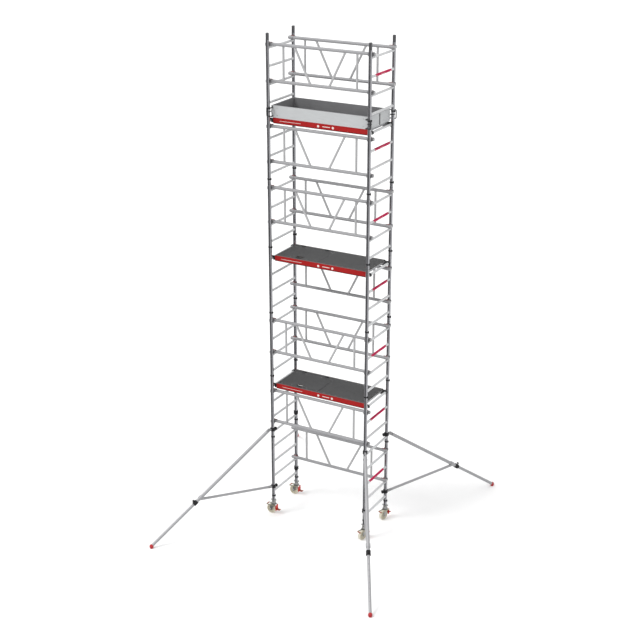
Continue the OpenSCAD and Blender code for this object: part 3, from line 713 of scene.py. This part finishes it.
def rail_details():
    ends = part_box("guardrails_top")
    plug = lathe([(0, -12 * MM), (RAIL_R - 2 * MM, -12 * MM), (RAIL_R - 2 * MM, 0), (RAIL_R, 0),
                  (RAIL_R, 1.5 * MM), (RAIL_R - 2 * MM, 4 * MM), (RAIL_R / 2, 6 * MM),
                  (0, 6.6 * MM)], 24)
    plugs = Piece("rail_end_plugs", "upright_tube")
    latch = latch_lever()
    latches = Piece("claw_latches", "latch_red")
    bolts = Piece("claw_bolts", "zinc")
    bolt = hex_head(6 * MM, 5 * MM)
    for side, top in UNITS:
        for z in (top, top - RAIL_SPAN):
            for end in (-1, 1):
                reach = ends[1].x if end > 0 else ends[0].x
                facing = turn(90, "Y") if end > 0 else turn(-90, "Y")
                plugs.stamp(plug, at(reach, side * rail_y, z) @ facing)
                latches.stamp(latch, at(end * post_x, side * rail_y, z) @ mirrored(end))
                bolts.stamp(bolt, at(end * post_x, side * (post_y - RAIL_INSET / 2 - 4 * MM),
                                     z + CLAW_H / 2))
    plugs.done()
    latches.done()
    bolts.done()

    welds = Piece("rail_welds", "weld")
    bead = 1.6 * MM
    for member_foot, member_top in ((UPRIGHT_AT, UPRIGHT_AT), (BRACE_FOOT, BRACE_HEAD)):
        for end in (-1, 1):
            foot = Vector((end * member_foot, 0, -RAIL_SPAN))
            head = Vector((end * member_top, 0, 0))
            up = (head - foot).normalized()
            lower = saddle_bead(up, STRUT_R, (1, 0, 0), RAIL_R, bead, 20)
            upper = saddle_bead(-up, STRUT_R, (1, 0, 0), RAIL_R, bead, 20)
            for side, top in UNITS:
                welds.stamp(lower, at(foot.x, side * rail_y, top + foot.z))
                welds.stamp(upper, at(head.x, side * rail_y, top + head.z))
    welds.done()


def latch_lever():
    """Thumb lever lying on a claw's rail collar and pointing into the bay (towards -X)."""
    collar_top = RAIL_R + 4 * MM
    width = 12 * MM
    outline = [(-50, 0), (-48, 3), (-36, 4), (-20, 3.5), (6, 3.5), (10, 2), (10, -1), (-34, -1),
               (-40, 1), (-47, -1.5)]
    lever = slab([(x * MM, y * MM) for x, y in outline], -width / 2, width / 2, 0.8 * MM)
    pivot = lathe([(0, -width / 2 - 2 * MM), (4 * MM, -width / 2 - 2 * MM),
                   (4 * MM, width / 2 + 2 * MM), (0, width / 2 + 2 * MM)], 14)
    lever.transform(turn(90, "X"))
    pivot.transform(at(4 * MM, 0, MM) @ turn(90, "X"))
    for part in (lever, pivot):
        part.transform(at(0, 0, collar_top))
    return [lever, pivot]


# ---- Platforms ----


def platform_details():
    made = {name: Piece(name, finish) for name, finish in (
        ("beam_trims", "beam_red"), ("beam_lips_painted_shade", "beam_shadow"), ("beam_marks", "mark_white"),
        ("deck_screws", "zinc"), ("hatch_edge_trims", "hook_steel"), ("hook_locks", "hook_steel"),
        ("hook_rivets", "zinc"))}
    for level in PLATFORMS:
        lo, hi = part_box(f"platform_frame_{level}")
        rung = platform_z(level)
        beam_details(made, lo, hi, rung + DECK_RISE)
        deck_details(made, level, lo, hi, rung + DECK_RISE)
        hook_details(made, hi, rung)
    for piece in made.values():
        piece.done()


def beam_details(made, lo, hi, beam_top):
    """Lengthwise beads, a lower lip coloured dark red as painted shade under the beam, and plain marks in
    place of print on the side beams.
    """
    depth, proud_by, edge, lip_h = MM, 1.6 * MM, 0.7 * MM, 10 * MM
    length = hi.x - lo.x
    for side in (-1, 1):
        face = side * hi.y
        sunk, proud = sorted((face - side * depth, face + side * proud_by))
        for low, high in ((6, 10), (66, 70)):
            made["beam_trims"].stamp(block((lo.x, sunk, beam_top - high * MM),
                                           (hi.x, proud, beam_top - low * MM), edge))
        # The lower lip is dark red: painted shade along the beam's bottom edge.
        made["beam_lips_painted_shade"].stamp(block((lo.x, sunk, beam_top - BEAM_H),
                                      (hi.x, proud, beam_top - BEAM_H + lip_h), edge))
        facing = (at(0, face, beam_top - BEAM_H / 2)
                  @ (turn(90, "X") if side < 0 else turn(180, "Z") @ turn(90, "X")))
        film, rim = 0.5 * MM, 0.1 * MM
        for start, end, height in ((0.07, 0.30, 5), (0.53, 0.61, 10)):
            bar = slab(round_rect((end - start) * length, height * MM, height * MM / 3),
                       0, film, rim)
            made["beam_marks"].stamp(bar, facing @ at(((start + end) / 2 - 0.5) * length, 0, 0))
        disc = slab(round_rect(32 * MM, 32 * MM, 13 * MM), 0, film, rim)
        made["beam_marks"].stamp(disc, *[facing @ at((share - 0.5) * length, -2 * MM, 0)
                                         for share in (0.485, 0.64)])


def deck_details(made, level, lo, hi, beam_top):
    """Screws round the fixed panel and along the deck's ends, and a trim beside the trapdoor."""
    panel_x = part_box(f"hatch_{level}")[1].x + 3 * MM
    inner = hi.y - BEAM_T
    inset, trim_w = 14 * MM, 14 * MM
    along, across = 9, 6
    screw = screw_head(5 * MM, 1.4 * MM)
    for side in (-1, 1):
        for k in range(along):
            x = panel_x + inset + (hi.x - panel_x - 2 * inset) * k / (along - 1)
            made["deck_screws"].stamp(screw, at(x, side * (inner - inset), beam_top))
    for k in range(1, across):
        y = -inner + inset + 2 * (inner - inset) * k / across
        made["deck_screws"].stamp(screw, at(hi.x - inset, y, beam_top))
        made["deck_screws"].stamp(screw, at(lo.x + inset, y, beam_top))
    made["hatch_edge_trims"].stamp(block((panel_x, -inner + MM, beam_top - MM),
                                         (panel_x + trim_w, inner - MM, beam_top + 0.8 * MM),
                                         0.4 * MM))


def hook_details(made, hi, rung):
    """Wind locks and rivets on the platform's four hooks."""
    lock = hook_lock()
    rivet = screw_head(6 * MM, 3 * MM)
    rivet.transform(turn(90, "X"))
    cheek_y = -12.5 * MM
    for end in (-1, 1):
        for side in (-1, 1):
            corner = at(end * post_x, side * (hi.y - BEAM_T / 2), rung) @ mirrored(end, side)
            made["hook_locks"].stamp(lock, corner)
            for dx, dz in ((-40, 20), (-40, -16)):
                made["hook_rivets"].stamp(rivet, corner @ at(dx * MM, cheek_y, dz * MM))


def hook_lock():
    """Wind lock on a hook's inner cheek: a pivoted finger under the rung, with a thumb tab."""
    cheek = -13.5 * MM
    outline = [(-34, 10), (-26, 12), (-20, 4), (-19, -14), (-8, -24), (8, -27), (10, -22),
               (-4, -20), (-13, -13), (-20, -22), (-30, -24), (-36, -16)]
    finger = slab([(x * MM, y * MM) for x, y in outline], 0, 4 * MM, 0.6 * MM)
    finger.transform(turn(90, "X"))
    head = screw_head(6 * MM, 3 * MM)
    head.transform(at(-28 * MM, -4 * MM, 0) @ turn(90, "X"))
    for part in (finger, head):
        part.transform(at(0, cheek + 0.8 * MM, 0))
    return [finger, head]


def hatch_details():
    """Grip frame, latch and hinge screws on each trapdoor."""
    for level in PLATFORMS:
        body = f"hatch_{level}"
        lo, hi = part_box(body)
        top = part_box(f"deck_{level}")[1].z
        back = joint[f"hatch_{level}_lift"]["pos_m"][1]
        mid_x = (lo.x + hi.x) / 2
        slot_y = lo.y + 60 * MM
        ring = frame_ring(round_rect(132 * MM, 54 * MM, 14 * MM), round_rect(108 * MM, 30 * MM, 8 * MM),
                          -2 * MM, 3 * MM)
        Piece(f"hatch_grip_{level}", "deck_ply", body).stamp(ring, at(mid_x, slot_y, top)).done()
        latch = Piece(f"hatch_latch_{level}", "claw_black", body)
        latch.stamp(block((-35 * MM, 0, 0), (35 * MM, 22 * MM, 6 * MM), 2 * MM),
                    at(mid_x, lo.y + 4 * MM, top))
        latch.stamp(block((-9 * MM, 4 * MM, 5 * MM), (9 * MM, 16 * MM, 9 * MM), 1.5 * MM),
                    at(mid_x, lo.y + 4 * MM, top))
        latch.done()
        screws = Piece(f"hatch_screws_{level}", "zinc", body)
        length = hi.x - lo.x
        screw = screw_head(3 * MM, 1.2 * MM)
        for hinge_x in (lo.x + length / 5, hi.x - length / 5):
            screws.stamp(screw, *[at(hinge_x + dx * MM, back - dy * MM, top + 3 * MM)
                                  for dx in (-5, 5) for dy in (14, 27)])
        edge = screw_head(5 * MM, 1.4 * MM)
        screws.stamp(edge, *[at(lo.x + share * length, y, top) for share in (0.04, 0.3, 0.7, 0.96)
                             for y in (lo.y + 12 * MM, back - 45 * MM)])
        screws.done()


def toe_board_details():
    lo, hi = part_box("toe_boards")
    straps = Piece("toe_board_straps", "strap_rubber")
    rise, tall = 25 * MM, 120 * MM
    out_y = post_y + POST_R + 4 * MM
    near, bend = hi.x - 22 * MM, 12 * MM
    for (sx, sy), past in zip(CORNERS.values(), (-18 * MM, 10 * MM) * 2):
        far = post_x + POST_R + past
        path = [(near, hi.y - 4 * MM, rise), (near, out_y - bend, rise),
                (near + bend / 3, out_y - bend / 3, rise), (near + bend, out_y, rise),
                (far - bend, out_y, rise), (far - bend / 3, out_y, rise + bend / 3),
                (far, out_y, rise + bend), (far, out_y, rise + tall - bend),
                (far - bend / 3, out_y, rise + tall - bend / 3), (far - bend, out_y, rise + tall),
                (near + bend, out_y, rise + tall), (near + bend / 3, out_y - bend / 3, rise + tall),
                (near, out_y - bend, rise + tall), (near, hi.y - 4 * MM, rise + tall)]
        straps.stamp(sweep(path, 7.5 * MM, 12), at(0, 0, lo.z) @ mirrored(sx, sy))
    straps.done()

    joints_and_shadow_lines = Piece("toe_board_joints_and_shadow_lines", "claw_black")
    bolts = Piece("toe_board_bolts", "zinc")
    width, slot_y = 24 * MM, 0.0
    bolt = screw_head(7 * MM, 2.6 * MM)
    for end in (-1, 1):
        inner, outer = sorted((end * (hi.x - MM), end * (hi.x + 1.5 * MM)))
        joints_and_shadow_lines.stamp(block((inner, slot_y - width / 2, lo.z + 8 * MM),
                           (outer, slot_y + width / 2, hi.z - 8 * MM), 0.6 * MM))
        for y in (slot_y - 26 * MM, slot_y + 26 * MM):
            for z in (lo.z + 35 * MM, hi.z - 35 * MM):
                bolts.stamp(bolt, at(end * hi.x, y, z) @ turn(end * 90, "Y"))
    for side in (-1, 1):
        for share in (0.06, 0.94):
            for z in (lo.z + 35 * MM, hi.z - 35 * MM):
                bolts.stamp(bolt, at(lo.x + share * (hi.x - lo.x), side * hi.y, z)
                            @ turn(-side * 90, "X"))
    # The black strips at each end of the front and back boards are painted shadow: they stand for the
    # dark line at the board ends.
    shadow_line_w = 6 * MM
    for sx, sy in CORNERS.values():
        joints_and_shadow_lines.stamp(block((hi.x - shadow_line_w, hi.y - MM, lo.z + 2 * MM),
                           (hi.x + MM, hi.y + MM, hi.z - 2 * MM), 0.5 * MM), mirrored(sx, sy))
    joints_and_shadow_lines.done()
    bolts.done()


# ---- Castors ----


def castor_details():
    tips = Piece("leg_nut_grips", "zinc")
    nut_lo, nut_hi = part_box("leg_nuts")
    mid_z = (nut_lo.z + nut_hi.z) / 2
    tip = lathe([(0, -8 * MM), (5 * MM, -7 * MM), (8 * MM, -3 * MM), (8 * MM, 3 * MM),
                 (5 * MM, 7 * MM), (0, 8 * MM)], 14)
    lug = block((-3 * MM, -4 * MM, -6 * MM), (3 * MM, 4 * MM, 6 * MM), MM)
    for place in posts():
        tips.stamp(tip, *[place @ at(side * 42 * MM, 0, mid_z) for side in (-1, 1)])
        tips.stamp(lug, *[place @ turn(angle, "Z") @ at(29 * MM, 0, mid_z)
                          for angle in (45, 90, 135, 225, 270, 315)])
    tips.done()

    for corner in CORNERS:
        post, ahead, trail = castor_place(corner)
        wheel_r = joint[f"wheel_spin_{corner}"]["pos_m"][2]
        base = at(*post) @ turn(math.degrees(math.atan2(ahead.y, ahead.x)), "Z")
        axle = base @ at(-trail, 0, wheel_r)
        castor_leg_details(corner, at(*post))
        castor_fork_details(corner, base, axle)
        castor_wheel_details(corner, axle, wheel_r)
        castor_brake_details(corner, base)


def castor_leg_details(corner, post):
    """Gusset ribs and bolts on the castor's head plate."""
    lo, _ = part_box(f"castor_leg_{corner}")
    plate = 8 * MM
    plate_top = lo.z + plate
    made = Piece(f"castor_head_ribs_{corner}", "zinc", f"castor_leg_{corner}")
    rib = slab([(22 * MM, 0), (34 * MM, 0), (34 * MM, 3 * MM), (24 * MM, 40 * MM), (22 * MM, 40 * MM)],
               -2 * MM, 2 * MM, 0.5 * MM)
    rib.transform(turn(90, "X"))
    made.stamp(rib, *[post @ turn(angle, "Z") @ at(0, 0, plate_top) for angle in range(0, 360, 60)])
    made.stamp(hex_head(5 * MM, 5 * MM), *[post @ turn(angle, "Z") @ at(29 * MM, 0, plate_top)
                                           for angle in range(30, 390, 60)])
    made.done()


def castor_fork_details(corner, base, axle):
    """Swivel race under the head plate and the axle's nuts."""
    lo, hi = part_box(f"castor_leg_{corner}")
    body = f"castor_fork_{corner}"
    race = lathe([(32 * MM, -12 * MM), (34.5 * MM, -11 * MM), (36 * MM, -6 * MM), (35 * MM, -1.2 * MM),
                  (32 * MM, -1.2 * MM)], 36)
    Piece(f"swivel_race_{corner}", "claw_black", body).stamp(race, base @ at(0, 0, lo.z)).done()
    nuts = Piece(f"axle_nuts_{corner}", "zinc", body)
    reach = 32.5 * MM
    for side in (-1, 1):
        nuts.stamp(hex_head(8.5 * MM, 7 * MM), axle @ at(0, side * reach, 0) @ turn(-side * 90, "X"))
    nuts.done()


def castor_wheel_details(corner, axle, radius):
    """Ribs between hub and rim, hub rings, and bands beside the tread."""
    made = Piece(f"wheel_ribs_{corner}", "tyre_cream", f"castor_wheel_{corner}")
    hub, rim = 18 * MM, radius - 19 * MM
    rib = block((hub, -2.5 * MM, -19 * MM), (rim, 2.5 * MM, 19 * MM), 1.2 * MM)
    made.stamp(rib, *[axle @ turn(angle, "Y") @ turn(90, "X") for angle in range(0, 360, 45)])
    made.done()
    caps = Piece(f"wheel_hub_rings_{corner}", "zinc", f"castor_wheel_{corner}")
    ring = lathe([(8 * MM, 23 * MM), (16 * MM, 23 * MM), (17 * MM, 24 * MM), (14 * MM, 24.8 * MM),
                  (8 * MM, 24.6 * MM)], 28)
    caps.stamp(ring, *[axle @ turn(angle, "X") for angle in (90, -90)])
    caps.done()
    band = Piece(f"wheel_tyre_bands_{corner}", "tyre_edge", f"castor_wheel_{corner}")
    rim_ring = lathe([(radius - 17 * MM, 20.4 * MM), (radius - 9 * MM, 20.4 * MM),
                      (radius - 9.5 * MM, 21.6 * MM), (radius - 16.5 * MM, 21.6 * MM)], 56)
    band.stamp(rim_ring, *[axle @ turn(angle, "X") for angle in (90, -90)])
    band.done()


def castor_brake_details(corner, base):
    """Ribbed pads on the pedal and the rear bar."""
    body = f"castor_brake_{corner}"
    pad = Piece(f"brake_pedal_pad_{corner}", "pedal_brown", body)
    pedal_top, pedal_start, pedal_end, half = 81 * MM, 62 * MM, 111 * MM, 19 * MM
    pad.stamp(block((pedal_start, -half, pedal_top - MM), (pedal_end, half, pedal_top + 3 * MM), MM),
              base)
    for k in range(6):
        x = pedal_start + (k + 0.7) * (pedal_end - pedal_start) / 6.4
        pad.stamp(block((x - 1.6 * MM, -half + 2 * MM, pedal_top + 2 * MM),
                        (x + 1.6 * MM, half - 2 * MM, pedal_top + 5 * MM), 0.8 * MM), base)
    pad.done()
    grip = Piece(f"brake_bar_sleeve_{corner}", "pedal_brown", body)
    bar_x, bar_z, bar_half = -105 * MM, 145 * MM, 30 * MM
    profile = [(8 * MM, -bar_half)]
    rings = 6
    for k in range(rings):
        start = -bar_half + 2 * bar_half * k / rings
        step = 2 * bar_half / rings
        profile += [(8.9 * MM, start + step * 0.15), (8.9 * MM, start + step * 0.7),
                    (8.4 * MM, start + step * 0.85)]
    profile += [(8 * MM, bar_half)]
    grip.stamp(lathe(profile, 20), base @ at(bar_x, 0, bar_z) @ turn(90, "X"))
    grip.done()
    rivets = Piece(f"brake_rivets_{corner}", "zinc", body)
    rivet = screw_head(6 * MM, 2.5 * MM)
    for side in (-1, 1):
        for x, z in ((46 * MM, 145 * MM), (-60 * MM, 145 * MM)):
            rivets.stamp(rivet, base @ at(x, side * 35 * MM, z) @ turn(-side * 90, "X"))
    rivets.done()


# ---- Stabilisers ----


def stabiliser_details():
    for corner, (sx, sy) in CORNERS.items():
        down = -Vector(joint[f"leg_retract_{corner}"]["axis"])
        azimuth = math.degrees(math.atan2(down.y, down.x))
        tilt = math.degrees(math.asin(-down.z))
        base = at(sx * post_x, sy * post_y, 0) @ turn(azimuth, "Z")
        slope = base @ at(PIVOT_X, 0, CLAMP_HEIGHTS[0]) @ turn(90 + tilt, "Y")
        run = math.cos(math.radians(tilt))
        collar_at = (COLLAR_REACH - PIVOT_X) / run
        foot_lo, foot_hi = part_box(f"stabiliser_foot_{corner}")
        foot = (foot_lo + foot_hi) / 2
        length = ((foot.xy - Vector((sx * post_x, sy * post_y))).length - PIVOT_X) / run
        clamp_details(corner, base, slope, collar_at)
        leg_details(corner, slope, collar_at, length)
        foot_details(corner, at(foot.x, foot.y, 0))


def knob_lobes(radius, thick, lobes=6, lobe_r=5 * MM):
    """Round grips set round a knob's rim, on the Z axis, centred."""
    lobe = lathe([(0, -thick / 2), (lobe_r * 0.8, -thick / 2), (lobe_r, -thick / 2 + 1.2 * MM),
                  (lobe_r, thick / 2 - 1.2 * MM), (lobe_r * 0.8, thick / 2), (0, thick / 2)], 14)
    placed = []
    for k in range(lobes):
        copy = lobe.copy()
        copy.transform(turn(360 * k / lobes, "Z") @ at(radius, 0, 0))
        placed.append(copy)
    return placed


def clamp_details(corner, base, slope, collar_at):
    body = f"stabiliser_{corner}"
    ring_r, knob_out, collar_r = 34.4 * MM, 18 * MM, 33 * MM
    knobs = Piece(f"clamp_knobs_{corner}", "claw_black", body)
    bolts = Piece(f"clamp_bolts_{corner}", "zinc", body)
    lobes = knob_lobes(21 * MM, 20 * MM, lobe_r=6.5 * MM)
    boss = lathe([(0, 0), (9 * MM, 0), (9 * MM, 3 * MM), (6 * MM, 5 * MM), (0, 5 * MM)], 20)
    for z in CLAMP_HEIGHTS:
        knob = base @ at(-ring_r - knob_out, 0, z) @ turn(-90, "Y")
        knobs.stamp(lobes, knob)
        knobs.stamp(boss, knob @ at(0, 0, 10 * MM))
        for side in (-1, 1):
            bolts.stamp(hex_head(9 * MM, 6 * MM),
                        base @ at(PIVOT_X, side * 13.8 * MM, z) @ turn(-side * 90, "X"))
        band = lathe([(ring_r - MM, -3 * MM), (ring_r + 1.6 * MM, -2 * MM),
                      (ring_r + 1.6 * MM, 2 * MM), (ring_r - MM, 3 * MM)], 36)
        knobs.stamp(band, base @ at(0, 0, z + 19 * MM), base @ at(0, 0, z - 19 * MM))
    top_knob = slope @ at(-50 * MM, 0, collar_at) @ turn(-90, "Y")
    knobs.stamp(knob_lobes(13 * MM, 16 * MM), top_knob)
    knobs.stamp(boss, top_knob @ at(0, 0, 8 * MM))
    rib = lathe([(collar_r - MM, -3 * MM), (collar_r + 1.5 * MM, -2 * MM),
                 (collar_r + 1.5 * MM, 2 * MM), (collar_r - MM, 3 * MM)], 36)
    knobs.stamp(rib, *[slope @ at(0, 0, collar_at + shift * MM) for shift in (-28, -14, 14, 28)])
    knobs.done()
    bolts.done()


def leg_details(corner, slope, collar_at, length):
    """Row of setting holes along the inner tube."""
    made = Piece(f"stay_holes_painted_shade_{corner}", "hook_steel", f"stabiliser_leg_{corner}")
    tube_r = 22 * MM
    # Each hole is a shallow dark steel disc: its dark fill is painted shade for the inside of the hole.
    hole_shade_disc = lathe([(0, -0.8 * MM), (3.4 * MM, -0.8 * MM), (3.4 * MM, 0.05 * MM), (5 * MM, 0.05 * MM),
                 (5 * MM, -MM), (0, -1.2 * MM)], 16)
    step = 90 * MM
    first = collar_at + 80 * MM
    count = int((length - first - 60 * MM) / step)
    for k in range(count):
        made.stamp(hole_shade_disc, slope @ at(0, 0, first + k * step) @ at(-tube_r, 0, 0) @ turn(-90, "Y"))
    made.done()


def foot_details(corner, place):
    """Grip rings round the rubber foot's sole and below its widest part."""
    made = Piece(f"foot_grip_rings_{corner}", "foot_rubber", f"stabiliser_leg_{corner}")
    sole_r, ball_r = 24 * MM, 31 * MM
    ring = lathe([(sole_r - 5 * MM, 2 * MM), (sole_r, 2.5 * MM), (sole_r + MM, 6 * MM),
                  (sole_r - 5 * MM, 7 * MM)], 40)
    waist = lathe([(ball_r - 2 * MM, -5 * MM), (ball_r + 0.5 * MM, -2 * MM),
                   (ball_r + 0.5 * MM, MM), (ball_r - 2 * MM, 2 * MM)], 40)
    made.stamp(ring, place)
    made.stamp(waist, place @ at(0, 0, ball_r - 6 * MM))
    made.done()


frame_details()
rail_details()
platform_details()
hatch_details()
toe_board_details()
castor_details()
stabiliser_details()

# ---- Floor, light and camera ----

CAMERA_AZIMUTH = 29.357


def floor():
    bm = bmesh.new()
    bmesh.ops.create_grid(bm, x_segments=1, y_segments=1, size=600)
    mesh = as_mesh(bm)
    mesh.name = "floor"
    obj = bpy.data.objects.new("floor", mesh)
    mesh.materials.append(surface("floor_pale", (0.93, 0.93, 0.93, 1), 0.9, shift=0.01, grain=3,
                                  patch=0.5, depth=0.05 * MM))
    bpy.context.scene.collection.objects.link(obj)
    obj.visible_glossy = False


def sky():
    """Soft white studio above. Below the horizon, which only reflections see, dark on the
    camera's left and bright on its right, so that tubes show a dark core and a light edge."""
    world = bpy.data.worlds.new("studio")
    world.use_nodes = True
    tree = world.node_tree
    tree.nodes.clear()
    way = add(tree, "TexCoord").outputs["Generated"]
    leftwards = 42
    dark_side = math.radians(CAMERA_AZIMUTH - leftwards)
    ahead = add(tree, "VectorMath", {0: way, 1: (math.sin(dark_side), -math.cos(dark_side), 0)},
                operation="DOT_PRODUCT").outputs["Value"]
    low = ramp(tree, remap(tree, ahead, 0.0, 1.0, 0.2, 0.8),
               [(0.0, (0.95, 0.95, 0.96, 1)), (1.0, (0.12, 0.12, 0.125, 1))])
    rise = remap(tree, axes(tree, way)[2], 0.0, 1.0, -0.06, 0.12)
    tone = blend(tree, rise, low, (1.0, 1.0, 1.0, 1))
    background = add(tree, "Background", {"Color": tone, "Strength": 1.0})
    output = add(tree, "OutputWorld")
    tree.links.new(background.outputs[0], output.inputs["Surface"])
    bpy.context.scene.world = world


def sun(name, strength, spread, azimuth, elevation):
    light = bpy.data.lights.new(name, "SUN")
    light.energy = strength
    light.angle = math.radians(spread)
    obj = bpy.data.objects.new(name, light)
    bpy.context.scene.collection.objects.link(obj)
    obj.rotation_euler = (math.radians(90 - elevation), 0, math.radians(azimuth))


def camera():
    azimuth, elevation, distance = CAMERA_AZIMUTH, 21.376, 19.579
    target = Vector((-0.1229, -0.0691, 3.2225))
    back = Vector((math.sin(math.radians(azimuth)) * math.cos(math.radians(elevation)),
                   -math.cos(math.radians(azimuth)) * math.cos(math.radians(elevation)),
                   math.sin(math.radians(elevation))))
    data = bpy.data.cameras.new("camera")
    data.sensor_width = 36
    data.lens = 76.0
    data.clip_end = 2000
    obj = bpy.data.objects.new("camera", data)
    obj.location = target + back * distance
    obj.rotation_euler = (math.radians(90 - elevation), 0, math.radians(azimuth))
    bpy.context.scene.collection.objects.link(obj)
    bpy.context.scene.camera = obj


floor()
sky()
sun("key", strength=1.5, spread=25, azimuth=-40, elevation=50)
camera()
bpy.context.scene.view_settings.view_transform = "Standard"
